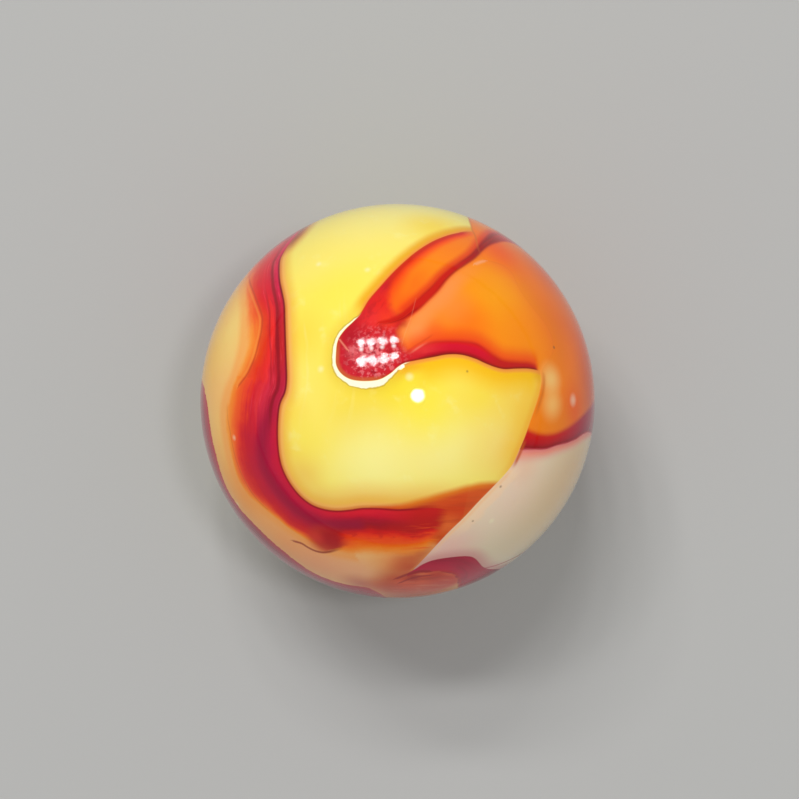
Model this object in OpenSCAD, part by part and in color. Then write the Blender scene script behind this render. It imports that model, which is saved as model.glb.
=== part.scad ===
// Glass marble: one solid ball of coloured glass streams folded into yellow base glass.

/* [Ball] */
// Diameter of the finished ball
ball_d = 16; // [10:0.1:35]

/* [Hidden] */

ball_r = ball_d / 2;
ball_fn = 72;

// A stream is cut from the ball by a wedge that starts inside it and ends well outside it.
wedge_in = 0.45 * ball_r;
wedge_out = 2.4 * ball_r;
span_steps = 2;

// Places on the ball are directions from its centre. Each is given by the degrees that it
// tilts to the right and up, away from the top point or away from the point underneath.
function tilt(right, up) = let (t = norm([right, up]))
    t == 0 ? [0, 0, 1] : [right * sin(t) / t, up * sin(t) / t, cos(t)];
function top(right, up) = tilt(right, up);
function under(right, up) = let (p = tilt(right, up)) [p.x, p.y, -p.z];

// An edge of a stream is a smooth line over the ball through each of its places in turn.
function unit(v) = v / norm(v);
function between(a, b, c, d, t) =
    unit((2 * b + (c - a) * t + (2 * a - 5 * b + 4 * c - d) * t * t
        + (3 * b - a - 3 * c + d) * t * t * t) / 2);
function smooth(edge) = let (last = len(edge) - 1) [
    for (i = [0:last - 1], s = [0:span_steps - 1])
        between(edge[max(i - 1, 0)], edge[i], edge[i + 1], edge[min(i + 2, last)],
            s / span_steps),
    edge[last]
];

// ---- Streams ----
// Each stream has two edges with the same number of places. They are the left one and the
// right one, going along the stream and looking down on the ball.

// The crimson ribbon hooks round the yellow, dips over the side, crosses underneath and
// comes back up on the right.
ribbon = [
    [top(13, -36), top(5, -40), top(-6, -40), top(-20, -43), top(-36, -39), top(-49, -27),
     top(-49, -6), top(-43, 11), top(-42, 28), top(-49, 42), top(-50, 52), top(-54, 62),
     top(-60, 66), under(-60, 52), under(-50, 28), under(-22, 8), under(16, -6), under(50, -12),
     under(75, -13), top(80, -13), top(65, -13), top(50, -14.5), top(38, -14)],
    [top(13, -33), top(5, -31), top(-7, -31), top(-18, -32.5), top(-28, -29.5), top(-34, -21),
     top(-35, -6), top(-32, 6), top(-34, 25), top(-40, 45), top(-41, 54), top(-38, 66),
     top(-44, 76), under(-36, 62), under(-24, 44), under(-4, 28), under(24, 14), under(52, 4),
     under(75, 0), top(80, 0), top(65, -5), top(50, -10), top(40, -9)]];

// The maroon rim runs along the lower left side, arches underneath and ends in the lens.
rim = [
    [under(-60, 36), under(-78, 24), top(-86, 11), top(-73, 3), top(-68, -12), top(-66, -28),
     top(-56, -44), top(-43, -55), top(-29, -67), top(-18, -72), top(-9, -72), top(-4, -84),
     under(6, -78), under(18, -80), top(25, -78), top(22.5, -69), top(19.5, -61.5),
     top(13, -58), top(5, -58)],
    [under(-56, 32), under(-62, 18), under(-66, 4), under(-66, -12), under(-62, -26),
     under(-54, -38), under(-44, -49), under(-33, -57), under(-22, -60), under(-14, -60),
     under(-7, -59), under(0, -58), under(10, -58), under(28, -60), under(46, -68),
     top(42, -69), top(30, -59), top(21, -51), top(7, -54)]];

// The tongue's crimson head thins out into the red line along its lower edge.
tongue = [
    [top(-17, 14), top(-14, 21), top(-9, 25), top(1, 21), top(4, 15), top(12, 17),
     top(22, 17), top(28, 13.5), top(36, 12), top(44, 10.5)],
    [top(-17, 11), top(-15, 7.5), top(-9, 5.5), top(-2, 7.5), top(3, 11), top(10, 12),
     top(20, 12.5), top(28, 10), top(36, 9.5), top(44, 9)]];

upper_line = [
    [top(-11, 24), top(-5.5, 34), top(-0.5, 41), top(8, 50), top(17, 56.5), top(26, 61)],
    [top(-8, 22), top(-4, 32), top(1, 38.5), top(9, 47.5), top(18, 54), top(26, 58.5)]];

middle_line = [
    [top(1, 23), top(8, 31.5), top(15, 40), top(24, 48.5), top(30, 56), top(38, 66),
     top(44, 75), under(42, 70), under(34, 57), under(22, 50), under(9, 50)],
    [top(2, 21), top(9.5, 29), top(17, 38), top(25.5, 46), top(33, 55), top(44, 64),
     top(54, 72), under(50, 66), under(38, 51), under(24, 44), under(8, 47)]];

// Orange glow on the outer side of the ribbon's hook.
glow = [
    [top(-50, 66), top(-46, 50), top(-45, 42), top(-38, 28), top(-38, 11), top(-44, -6),
     top(-44, -24), top(-32, -34), top(-20, -38), top(-6, -36), top(5, -36), top(12, -35)],
    [top(-64, 60), top(-57, 49), top(-53, 39), top(-49, 27), top(-50, 7), top(-57, -4),
     top(-56, -24), top(-41, -40), top(-26, -49), top(-8, -47), top(4, -47), top(11, -46)]];

// The ribbon's end smears out into a red-brown tail at the seam.
tail = [
    [top(0, -30), top(10, -27.5), top(20, -25), top(35, -21)],
    [top(2, -38), top(8, -43), top(17, -44), top(31, -29)]];

orange_field = [
    [top(-14, 15), top(-10, 25), top(0, 39.5), top(9, 49), top(18, 56), top(26, 60.5),
     top(28, 71), top(31, 84), under(28, 80), under(24, 62), under(30, 40), under(38, 30),
     under(44, 22), under(48, 14)],
    [top(-14, 12), top(-9, 8), top(0, 11), top(12, 14), top(22, 13), top(30, 11),
     top(37, 10.5), top(42, 10), top(44, 8), top(43, 1), top(41, -9), top(60, -9),
     top(84, -6), under(74, -4)]];

cream_field = [
    [top(38.5, -12), top(50, -12.5), top(66, -9), top(84, -6), under(72, -6), under(50, -5),
     under(20, 2), under(-10, 16)],
    [top(7, -53), top(20, -56), top(30, -66), top(44, -76), under(30, -67), under(10, -64),
     under(-10, -64), under(-24, -40)]];

peach_field = [
    [under(-46, 50), top(-54, 68), top(-50, 46), top(-46, 28), top(-46, 8), top(-52, -5),
     top(-50, -22), top(-38, -38), top(-18, -42), top(4, -40), top(12, -40), top(20, -38)],
    [under(-70, 24), top(-84, 4), top(-76, -2), top(-72, -12), top(-70, -24), top(-64, -38),
     top(-54, -51), top(-40, -62), top(-22, -78), under(-2, -78), under(12, -74),
     under(24, -76)]];

// Colour, edges, and the streams that lie over this one.
streams = [
    ["#A8102C", ribbon, []],
    ["#76183A", rim, []],
    ["#C41020", tongue, []],
    ["#D03A08", upper_line, [tongue]],
    ["#9C0C18", middle_line, [tongue]],
    ["#EE8628", glow, [ribbon]],
    ["#EDE0C4", cream_field, [ribbon, rim]],
    ["#C4500C", tail, [ribbon, cream_field]],
    ["#F28C14", orange_field, [ribbon, tongue, upper_line, middle_line]],
    ["#EDB884", peach_field, [ribbon, rim, glow, cream_field, tail]],
];

module wedge(edges) {
    left = smooth(edges[0]);
    right = smooth(edges[1]);
    last = len(left) - 1;
    ring = [0, 1, 2, 3];
    polyhedron(
        points = [for (i = [0:last]) each [
            left[i] * wedge_out, right[i] * wedge_out, right[i] * wedge_in, left[i] * wedge_in]],
        faces = [
            ring,
            for (i = [0:last - 1], k = ring) let (a = 4 * i + k, b = 4 * i + (k + 1) % 4) each [
                [a, a + 4, b], [b, a + 4, b + 4]],
            [for (k = [3:-1:0]) 4 * last + k]
        ]);
}

module ball() sphere(r = ball_r, $fn = ball_fn);

module stream_glass(edges, over) intersection() {
    ball();
    difference() {
        wedge(edges);
        for (upper = over) wedge(upper);
    }
}

module base_glass() difference() {
    ball();
    for (stream = streams) wedge(stream[1]);
}

module marble() {
    color("#F3DC5E") base_glass();
    for (stream = streams) color(stream[0]) stream_glass(stream[1], stream[2]);
}

marble();
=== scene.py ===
import functools
import math

import bpy
import numpy as np
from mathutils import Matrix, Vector


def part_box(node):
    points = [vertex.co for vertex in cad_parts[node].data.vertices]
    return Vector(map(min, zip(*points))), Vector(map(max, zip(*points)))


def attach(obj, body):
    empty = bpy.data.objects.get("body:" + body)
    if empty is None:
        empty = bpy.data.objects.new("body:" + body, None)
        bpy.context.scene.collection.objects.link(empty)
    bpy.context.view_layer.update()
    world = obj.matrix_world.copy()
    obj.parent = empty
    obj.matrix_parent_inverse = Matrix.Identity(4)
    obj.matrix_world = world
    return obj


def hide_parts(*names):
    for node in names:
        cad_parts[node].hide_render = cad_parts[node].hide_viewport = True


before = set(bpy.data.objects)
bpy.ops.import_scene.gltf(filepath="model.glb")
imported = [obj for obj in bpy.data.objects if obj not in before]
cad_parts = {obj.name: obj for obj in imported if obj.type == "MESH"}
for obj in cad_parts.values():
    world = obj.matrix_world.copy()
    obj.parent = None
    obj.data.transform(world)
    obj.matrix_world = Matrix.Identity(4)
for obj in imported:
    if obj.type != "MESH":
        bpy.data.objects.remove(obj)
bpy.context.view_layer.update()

# ---- Sizes -----------------------------------------------------------------------------------

MM = 0.001
BALL_LOW, BALL_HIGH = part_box("marble")
BALL_RADIUS = (BALL_HIGH.z - BALL_LOW.z) / 2
BALL_RADIUS_MM = BALL_RADIUS / MM

# The rolled skin: how far it wanders inside the true ball, and its few tiny pits.
LUMP_DEPTH = 0.003 * MM
LUMP_SIZE = 5.0 * MM
PIT_COUNT = 34
PIT_RADIUS = 0.16 * MM
PIT_DEPTH = 0.010 * MM
SKIN_SEED = 7
CELLS_A_SIDE = 128

# Creases in the skin, where one stream folded against another. The width is in mm.
CREASE_DEPTH = 0.012 * MM
CREASE_WIDTH = 0.16
SEAM_CREASE_SHARE = 0.6

# Fine scuffs in the skin by the tongue's head.
SCUFF_DEPTH = 0.002 * MM

# Samples between two places of a line.
SPAN_STEPS = 12

# Keeps a division away from zero.
TINY = 1e-6

# A direction that points along none of the outlines' middles.
SLANT = (0.31, 0.87, 0.38)

# ---- Places on the ball ----------------------------------------------------------------------
# A place is a direction from the ball's centre. It is given by the degrees that it tilts to the
# right and up, away from the top point, or away from the point underneath.


def top(right, up):
    """The direction of a place, counted from the top point."""
    tilt = math.hypot(right, up)
    if tilt == 0:
        return (0.0, 0.0, 1.0)
    reach = math.sin(math.radians(tilt)) / tilt
    return (right * reach, up * reach, math.cos(math.radians(tilt)))


def under(right, up):
    """The direction of a place, counted from the point underneath."""
    x, y, z = top(right, up)
    return (x, y, -z)


def tops(*places):
    """Several places counted from the top point, as (right, up) pairs."""
    return [top(right, up) for right, up in places]


def unders(*places):
    """Several places counted from the point underneath, as (right, up) pairs."""
    return [under(right, up) for right, up in places]


# ---- Lines of the pattern --------------------------------------------------------------------
# The ribbon starts at the seam, hooks round the yellow, dips over the side, crosses underneath
# and comes back up on the right. Its three lines run side by side, from the sharp edge outwards.

RIBBON_SHARP_EDGE = (
    tops((20, -32), (14, -31.5), (10, -31), (5, -31), (0, -31.2), (-5, -30.9), (-10, -31),
         (-14, -31.8), (-18, -32.4), (-22, -32.2), (-25.5, -31.2), (-28.5, -29.2),
         (-31, -26.5), (-33.3, -22.8), (-34.8, -18.5), (-35.3, -13), (-35, -6), (-34.2, -1),
         (-32.5, 2.5), (-32, 6), (-32.2, 10), (-32.7, 15), (-33.3, 20), (-34, 25),
         (-34.9, 30), (-36.5, 34.5), (-38.5, 39.5), (-40.2, 45), (-41.4, 50), (-41.2, 54),
         (-40.3, 60), (-39.5, 65), (-40, 70), (-42, 76))
    + unders((-40, 72), (-36, 62), (-24, 44), (-4, 28), (24, 14), (52, 4), (75, 0))
    + tops((80, 0), (75, -1.5), (70, -3.3), (65, -5.3), (60, -7.3), (55, -8.8), (50, -9.8),
           (45, -9.7), (41, -8.7), (38, -7.4)))

RIBBON_BODY_EDGE = (
    tops((20, -37), (14, -37.5), (10, -39), (5, -40.3), (0, -39.8), (-5, -39.8),
         (-10, -39.5), (-15, -40.5), (-18, -43), (-22, -44), (-26, -43.3), (-30, -41.8),
         (-34.5, -40), (-38, -37), (-42, -34), (-46, -31), (-49, -28), (-51, -24.5),
         (-51.8, -20), (-51.5, -14), (-50, -5), (-48, 4), (-45.5, 9), (-42.5, 14),
         (-41.5, 20), (-42.5, 28), (-46, 35), (-49, 41), (-51, 50), (-53, 58),
         (-56, 64), (-59, 67))
    + unders((-60, 52), (-50, 28), (-22, 8), (16, -6), (50, -12), (75, -13))
    + tops((80, -13), (72, -12), (67, -12.3), (63, -13.3), (58, -13.9), (52, -14.3),
           (47, -15.1), (42, -14.8), (38, -14.5), (35, -14.5)))

RIBBON_GLOW_EDGE = (
    tops((20, -44), (12, -47), (4, -50), (-6, -50.5), (-15, -50), (-22, -49), (-30, -46),
         (-34, -43.5), (-40, -39.5), (-46, -36), (-51, -33), (-55, -28), (-57, -22),
         (-58.5, -13), (-59, -7), (-58.5, -2), (-56.5, 3), (-53.5, 7.5), (-51.5, 13),
         (-50.5, 19), (-51.3, 26), (-53.3, 33), (-56.5, 39.5), (-60.5, 45), (-64, 51),
         (-67, 57), (-70, 61))
    + unders((-68, 48), (-58, 24), (-30, 2), (10, -12), (48, -17), (75, -17))
    + tops((80, -16.5), (70, -17), (60, -18.5), (50, -20), (42, -20.5), (34, -21)))

# Underneath, the ribbon's far end takes over from the hook. Lengths along the ribbon, in mm.
BAND_START = 27.0
TAKEOVER = 2.0

# The lengths along the ribbon between which the peach beside it is warmer, and how far outside
# its sharp edge the hook's golden side reaches.
HOOK_SIDE = (5, 19)
GOLDEN_REACH = 1.5

# The last length of the ribbon shows only past the seam, which it may overlap by a little.
BAND_END_LENGTH = 6
SEAM_OVERLAP = 0.25

# The deep core of the hook, where the ribbon is thickest.
RIBBON_CORE = tops((-36.3, 2), (-38.2, -4), (-40.5, -10), (-41.7, -15), (-41.2, -20.5),
                   (-38.8, -25), (-36, -29), (-32, -33), (-28, -35.8), (-23, -37.2),
                   (-18, -37), (-12, -36.8))

# The rim ribbon: along the lower left side, under an arch, and up again in the lens.
RIM_INNER_EDGE = (
    unders((-54, 40), (-66, 32), (-78, 20))
    + tops((-85, 10), (-80, 8.5), (-75, 5.5), (-71, 0), (-69.5, -5), (-68.5, -10),
           (-67.8, -15), (-66.5, -20), (-66, -25), (-65, -30), (-63.5, -34), (-60.5, -38),
           (-57.5, -41), (-54, -44), (-50, -47.2), (-46.5, -50.5), (-43, -53.5), (-40, -56.3),
           (-36, -60.5), (-31.5, -64.5), (-27.5, -66.3), (-23, -67.6), (-18, -68.3),
           (-13, -68.2), (-9.5, -69.5), (-7, -73), (-5, -79), (-4, -84))
    + unders((0, -82), (6, -77), (14, -77), (20, -80))
    + tops((25, -79), (23.5, -73), (22.3, -68), (21, -64), (19.2, -61), (16.5, -59),
           (13, -58), (9, -58), (6, -58.5), (3, -60)))

RIM_OUTER_EDGE = (
    unders((-52, 36), (-60, 20), (-65, 4), (-66, -10), (-63, -24), (-55, -37), (-46, -47),
           (-36, -55), (-26, -59), (-14, -60), (0, -58), (16, -58), (32, -61), (44, -67))
    + tops((49, -73), (45, -71), (41, -68), (37, -65), (33, -62), (30.5, -59.3),
           (28.5, -56.3), (26.5, -53.5), (24, -51.6), (20, -50.8), (15, -50.8),
           (11, -51.5), (8, -53.2), (6, -55.2), (3, -58)))

RIM_FIELD = (RIM_INNER_EDGE, RIM_OUTER_EDGE[::-1])

# The tongue's edge: down its upper side, round the head and back along its lower side.
TONGUE_UPPER_SIDE = ((21, 57.7), (18, 56), (15, 54), (12, 51.8), (9, 49.2), (6, 46.3), (3, 43),
                     (0, 39.5), (-2, 37), (-5, 33))
TONGUE_EDGE = tops(
    (28, 61.2), (25.5, 60.2), (23, 59), *TONGUE_UPPER_SIDE, (-8, 29), (-10.2, 25),
    (-12.5, 22.5), (-15, 20), (-16.8, 17), (-17.2, 13), (-17, 10), (-15.5, 7.6), (-12.8, 6),
    (-9, 5.5), (-5, 5.9), (-2, 7.5), (0, 9.3), (2, 10.5), (5, 11.2), (10, 12.2), (14, 13),
    (18, 13), (22, 12), (25, 10.8), (28, 9.8), (31, 9.3), (35, 9.6), (39, 9.8), (42, 9.6),
    (43.8, 9.2))

# The crimson of the lower side ends softly along this line.
LOWER_BAND_TOP = tops((0, 11.5), (3, 13.5), (6, 15.2), (9, 16.5), (12, 17), (17, 17.2),
                      (22, 16.8), (25, 15.4), (28, 13.4), (31, 12), (36, 11.7), (40, 11.6),
                      (44.4, 10.2))

# How far the red reaches in from the tongue's edge, in mm, at lengths along the edge in mm.
TONGUE_REACH = ((0, 0.22), (2, 0.3), (4.5, 0.36), (6.5, 0.75), (8, 0.9))

# The red of the tongue's head. Only the part of it inside the tongue's edge shows.
HEAD_RED = (
    tops((-2, 38), (-14, 32), (-21, 20), (-21, 8), (-12, 1), (0, 5), (7, 10), (6, 13)),
    tops((6, 13), (3, 13.6), (1.4, 15.4), (0.4, 17.9), (0.8, 20), (2.4, 22.6)),
    tops((2.4, 22.6), (0, 24), (-1.8, 26), (-2.8, 29), (-3, 33), (-2, 38)))

# The pale lip outside the head, partly a painted glint of the lamps in the crease there: its width in
# mm at lengths along the tongue's edge in mm.
LIP_AND_GLINT_WIDTHS = ((7.0, 0), (7.5, 0.07), (8.3, 0.1), (9.2, 0.13), (9.8, 0.14), (10.3, 0.2),
              (10.8, 0.3), (11.4, 0.26), (11.8, 0.17), (12.1, 0.1), (12.6, 0.06), (13.0, 0))

MIDDLE_LINE = (
    tops((-4.5, 22), (-1.5, 22.6), (1.5, 23.8), (4.5, 26.2), (8, 29.8), (11, 33), (14, 37),
         (17, 40.2), (20, 42.8), (24, 46.5), (27, 50.3), (30, 54.2), (34, 58.5), (38, 62.5),
         (43, 65.5), (50, 68), (58, 70))
    + unders((52, 62), (38, 52), (24, 47), (6, 49)))

# Half the middle line's width, in mm, at lengths along it in mm.
MIDDLE_WIDTHS = ((0, 0.06), (0.8, 0.16), (1.6, 0.19), (2.6, 0.17), (4.3, 0.12), (6, 0.13),
                 (7, 0.2), (8.4, 0.34), (10, 0.4), (14, 0.3), (17, 0.18), (19, 0))

# A thin dark thread runs up from the tongue's lower band.
TONGUE_WISP = tops((3, 13.8), (5.5, 15.6), (8, 17.2), (10.2, 18.8))

# Two light scratches by the head.
HEAD_SCRATCH = tops((-16.2, 17.2), (-14, 14.4))
FOLD_SCRATCH = tops((1.2, 15.5), (2.2, 19), (3.8, 23.5), (5.2, 29))

# A pale streak above the orange, and fine strokes at the lens's tip and beside it.
ORANGE_STREAK = tops((25, 43.6), (26.5, 44.6), (28, 45.4))
LENS_STROKE = tops((0, -60.5), (2.5, -58.8), (5, -57.6), (7.5, -56.8), (10, -57))
LENS_LOW_STROKE = tops((1, -63.5), (4, -61.2), (7.5, -59.8), (11, -59.6))
LIMB_STREAK = tops((30, -61), (36, -62), (43, -62.5), (50, -63), (58, -64))

# An orange-brown fold runs down the hook's outer side, and a thin brown line follows it.
ARM_FOLD = tops((-60, 52), (-55, 44.5), (-50.4, 38.4), (-47.2, 33.8), (-44.9, 30.2),
                (-43, 26.5), (-42.6, 22), (-43.4, 17), (-44.6, 12.7), (-47, 8.4), (-50.5, 5))
OUTER_LINE = tops((-56.5, -2), (-56.2, -6), (-55.4, -10), (-54.8, -14), (-53.9, -19),
                  (-52.3, -23.7), (-50, -28.4), (-47, -32.4), (-43.4, -35.4))

# The line along which the two faces of the pour were cut off and folded together.
SEAM_FOOT = ((16, -39.5), (13, -43.5), (10, -48), (7.5, -52), (5, -56))
SEAM_LOWER_PART = ((34, -19.6), (31, -23), (28, -26), (24, -30.2), (20, -35), *SEAM_FOOT)
SEAM = tops(
    (30.5, 79), (28.3, 71), (27.6, 66), (27.1, 62), (27.4, 58), (27, 51), (28.5, 46.5),
    (32, 45.8), (36, 45), (38.5, 42), (39.3, 38), (41.5, 33.5), (45, 29.2), (48.8, 25),
    (50.8, 20), (50, 15.5), (47, 12.5), (44.4, 9.6), (44.2, 6), (43.4, 2.5), (41.4, -2.5),
    (39.9, -6), (38.4, -10), (36.7, -14), (35.4, -17), *SEAM_LOWER_PART, (2.5, -60))

# The colour fields between the streams. Each is an outline made of one or more runs of places.
ORANGE_FIELD = (
    tops((44, 9.4), (35, 11), (28, 12), (18, 14.5), (8, 14), (0, 13), (-8, 14), (-12, 20)),
    tops((-10.5, 24), (-8, 28.5), *TONGUE_UPPER_SIDE[::-1], (23.5, 59.2), (27.2, 61)),
    tops((27.2, 61), (27.5, 66), (28.3, 72), (30, 80)),
    unders((30, 84), (26, 72), (24, 58), (30, 40), (42, 16)),
    unders((58, 2), (76, -6)),
    tops((84, -9), (66, -11), (52, -13.2), (37.3, -12.6)),
    tops((37.3, -12.6), (38.4, -10), (39.9, -6), (41.5, -2), (43.4, 3), (44.2, 6), (44, 9.4)))

CREAM_FIELD = (
    tops((37, -13), (35.4, -16.8), *SEAM_LOWER_PART),
    tops((5, -56), (14, -54.5), (24, -55), (30, -63), (40, -73)),
    unders((42, -74), (30, -64), (10, -62), (-12, -63), (-30, -44), (-34, -20), (-22, 4)),
    unders((-22, 14), (10, 4), (50, -5), (74, -7)),
    tops((84, -8), (66, -10.5), (50, -13), (37, -13)))

PEACH_FIELD = (
    unders((-52, 46), (-70, 50)),
    tops((-62, 62), (-54, 58), (-48, 44), (-45, 28), (-45, 10), (-50, -5), (-50, -22),
         (-38, -38), (-20, -44), (-6, -42), (6, -42), (14, -41.5)),
    tops(*SEAM_FOOT),
    tops((5, -56), (14, -56), (26, -60), (34, -72)),
    unders((22, -72), (6, -70)),
    tops((-6, -86), (-24, -76), (-44, -58), (-62, -42), (-70, -24), (-72, -8), (-78, 4)),
    unders((-78, 16), (-62, 30)))

# The ribbon's end smears out into a red-brown tail that stops at the seam.
TAIL_FIELD = (
    tops((-8, -30.5), (0, -29.2), (5, -28), (10, -26.6), (15, -25.2), (20, -24),
         (25, -23.4), (32, -24)),
    tops((32, -24.5), (22, -36), (14, -46)),
    tops((14, -46), (9, -43.5), (3, -41.5), (-4, -38), (-8, -34)))

# A dark wisp hangs from the bend of the hook.
WISP_LINE = tops((-35, -47.2), (-32, -47.4), (-30, -48.6), (-27.5, -49.7), (-25, -49.9),
                 (-22.6, -49.2), (-20.2, -48), (-17.5, -46.5), (-14, -44.5))


# ---- Distances over the ball -----------------------------------------------------------------


def smooth_line(places):
    """Close samples along the smooth line that passes through each place in turn."""
    marks = np.array([places[0], *places, places[-1]], float)
    steps = np.arange(SPAN_STEPS)[:, None] / SPAN_STEPS
    spans = []
    for before, start, end, after in zip(marks, marks[1:], marks[2:], marks[3:]):
        spans.append(0.5 * (
            2 * start
            + (end - before) * steps
            + (2 * before - 5 * start + 4 * end - after) * steps ** 2
            + (3 * start - before - 3 * end + after) * steps ** 3))
    line = np.concatenate([*spans, marks[-1:]])
    return line / np.linalg.norm(line, axis=1, keepdims=True)


def nearest_samples(directions, line, rows=8000):
    """For each direction, which sample of the line is nearest."""
    nearest = [np.argmax(directions[i:i + rows] @ line.T, axis=1)
               for i in range(0, len(directions), rows)]
    return np.concatenate(nearest)


def measure(directions, places):
    """Signed distance from the line, positive on its left, and how far along it, both in mm."""
    line = smooth_line(places)
    ahead = np.gradient(line, axis=0)
    ahead -= line * np.sum(ahead * line, axis=1, keepdims=True)
    ahead /= np.linalg.norm(ahead, axis=1, keepdims=True)
    left = np.cross(line, ahead)
    nearest = nearest_samples(directions, line)
    sideways = np.sum(directions * left[nearest], axis=1)
    facing = np.sum(directions * line[nearest], axis=1)
    distance = np.arctan2(sideways, facing)
    at_an_end = (nearest == 0) | (nearest == len(line) - 1)
    full = np.arccos(np.clip(facing, -1, 1))
    distance = np.where(at_an_end, np.copysign(full, sideways), distance)
    lengths = np.linalg.norm(np.diff(line, axis=0), axis=1)
    along = np.concatenate([[0], np.cumsum(lengths)])[nearest]
    return distance * BALL_RADIUS_MM, along * BALL_RADIUS_MM


def inside_outline(directions, loop):
    """Whether each direction is inside a closed loop of samples, seen from the loop's middle."""
    middle = loop.mean(axis=0)
    middle /= np.linalg.norm(middle)
    right = np.cross(middle, SLANT)
    right /= np.linalg.norm(right)
    up = np.cross(middle, right)

    def flat(points):
        shrink = 1 / np.maximum(1 + points @ middle, TINY)
        return (points @ right) * shrink, (points @ up) * shrink

    x, y = flat(directions)
    corner_x, corner_y = flat(loop)
    inside = np.zeros(len(directions), bool)
    for i in range(len(loop)):
        x0, y0, x1, y1 = corner_x[i - 1], corner_y[i - 1], corner_x[i], corner_y[i]
        if y0 == y1:
            continue
        crosses = (y0 > y) != (y1 > y)
        inside ^= crosses & (x < x0 + (y - y0) * (x1 - x0) / (y1 - y0))
    return inside


def gap_to_loop(directions, loop):
    """The angle from each direction to a closed loop of samples."""
    nearest = nearest_samples(directions, loop)
    off = directions - loop[nearest]
    gaps = []
    for step in (-1, 1):
        run = loop[(nearest + step) % len(loop)] - loop[nearest]
        square = np.maximum(np.sum(run * run, axis=1), TINY ** 2)
        share = np.clip(np.sum(off * run, axis=1) / square, 0, 1)
        gaps.append(np.linalg.norm(off - share[:, None] * run, axis=1))
    return 2 * np.arcsin(np.minimum(*gaps) / 2)


def depth_in(directions, outline):
    """Distance in mm to an outline's edge, positive inside it."""
    loop = np.concatenate([smooth_line(run)[:-1] if len(run) > 1 else np.array(run)
                           for run in outline])
    gap = gap_to_loop(directions, loop)
    signed = np.where(inside_outline(directions, loop), gap, -gap)
    return signed * BALL_RADIUS_MM


def across(*distances):
    """Counts up by one from each line of a stream to the next, and is level beyond the last."""
    value = np.zeros_like(distances[0])
    for i, (near, far) in enumerate(zip(distances, distances[1:])):
        share = np.clip(near / np.maximum(near - far, TINY), 0, 1)
        started = near > 0
        value = np.where(started, i + np.where(far < 0, share, 1), value)
    return value


# ---- The ball --------------------------------------------------------------------------------


def add_node(tree, kind, feeds=(), **settings):
    """A node with its settings made and its inputs set or linked."""
    node = tree.nodes.new(kind)
    for name, value in settings.items():
        setattr(node, name, value)
    for key, value in dict(feeds).items():
        if isinstance(value, bpy.types.NodeSocket):
            tree.links.new(value, node.inputs[key])
        else:
            node.inputs[key].default_value = value
    return node


def rolled_ball_tree():
    """A tree that grows a ball from a cube's grid, lets its skin wander and sinks a few pits."""
    tree = bpy.data.node_groups.new("Rolled glass ball", "GeometryNodeTree")
    tree.interface.new_socket("Ball", in_out="OUTPUT", socket_type="NodeSocketGeometry")
    for name, kind in (("Radius", "Float"), ("Cells a side", "Int"), ("Lump depth", "Float"),
                       ("Lump size", "Float"), ("Pit count", "Int"), ("Pit radius", "Float"),
                       ("Pit depth", "Float"), ("Seed", "Int"), ("Glass", "Material")):
        tree.interface.new_socket(name, in_out="INPUT", socket_type="NodeSocket" + kind)
    given = tree.nodes.new("NodeGroupInput").outputs

    def number(operation, first, second=0.0):
        return add_node(tree, "ShaderNodeMath", {0: first, 1: second},
                        operation=operation).outputs[0]

    def vector(operation, first, second=(0, 0, 0)):
        return add_node(tree, "ShaderNodeVectorMath", {0: first, 1: second},
                        operation=operation).outputs[0]

    def grown(outwards, distance):
        return add_node(tree, "ShaderNodeVectorMath", {0: outwards, "Scale": distance},
                        operation="SCALE").outputs[0]

    corners = number("ADD", given["Cells a side"], 1)
    grid = add_node(tree, "GeometryNodeMeshCube", {
        "Size": (2, 2, 2), "Vertices X": corners, "Vertices Y": corners,
        "Vertices Z": corners}).outputs["Mesh"]
    place = tree.nodes.new("GeometryNodeInputPosition").outputs[0]
    evened = vector("TANGENT", vector("MULTIPLY", place, (math.pi / 4,) * 3))
    outwards = vector("NORMALIZE", evened)
    true_ball = add_node(tree, "GeometryNodeSetPosition", {
        "Geometry": grid, "Position": grown(outwards, given["Radius"])}).outputs[0]

    round_place = vector("NORMALIZE", place)
    wander = add_node(tree, "ShaderNodeTexNoise", {
        "Vector": place, "Scale": number("DIVIDE", 1.0, given["Lump size"]),
        "Detail": 1.0}).outputs[0]
    lumps = number("MULTIPLY", wander, given["Lump depth"])

    area = number("MULTIPLY", number("POWER", given["Radius"], 2), 4 * math.pi)
    pits = add_node(tree, "GeometryNodeDistributePointsOnFaces", {
        "Mesh": true_ball, "Density": number("DIVIDE", given["Pit count"], area),
        "Seed": given["Seed"]}).outputs["Points"]
    gap = add_node(tree, "GeometryNodeProximity", {0: pits},
                   target_element="POINTS").outputs["Distance"]
    bowl = add_node(tree, "ShaderNodeMapRange", {
        "Value": gap, "From Min": 0.0, "From Max": given["Pit radius"],
        "To Min": given["Pit depth"], "To Max": 0.0}, interpolation_type="SMOOTHSTEP").outputs[0]
    sunk = number("SUBTRACT", given["Radius"], number("ADD", lumps, bowl))
    skin = add_node(tree, "GeometryNodeSetPosition", {
        "Geometry": true_ball, "Position": grown(round_place, sunk)}).outputs[0]

    whole = add_node(tree, "GeometryNodeRealizeInstances", {0: skin}).outputs[0]
    smooth = add_node(tree, "GeometryNodeSetShadeSmooth", {0: whole}).outputs[0]
    finished = add_node(tree, "GeometryNodeSetMaterial", {
        "Geometry": smooth, "Material": given["Glass"]}).outputs[0]
    result = tree.nodes.new("NodeGroupOutput")
    tree.links.new(finished, result.inputs[0])
    return tree


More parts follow.
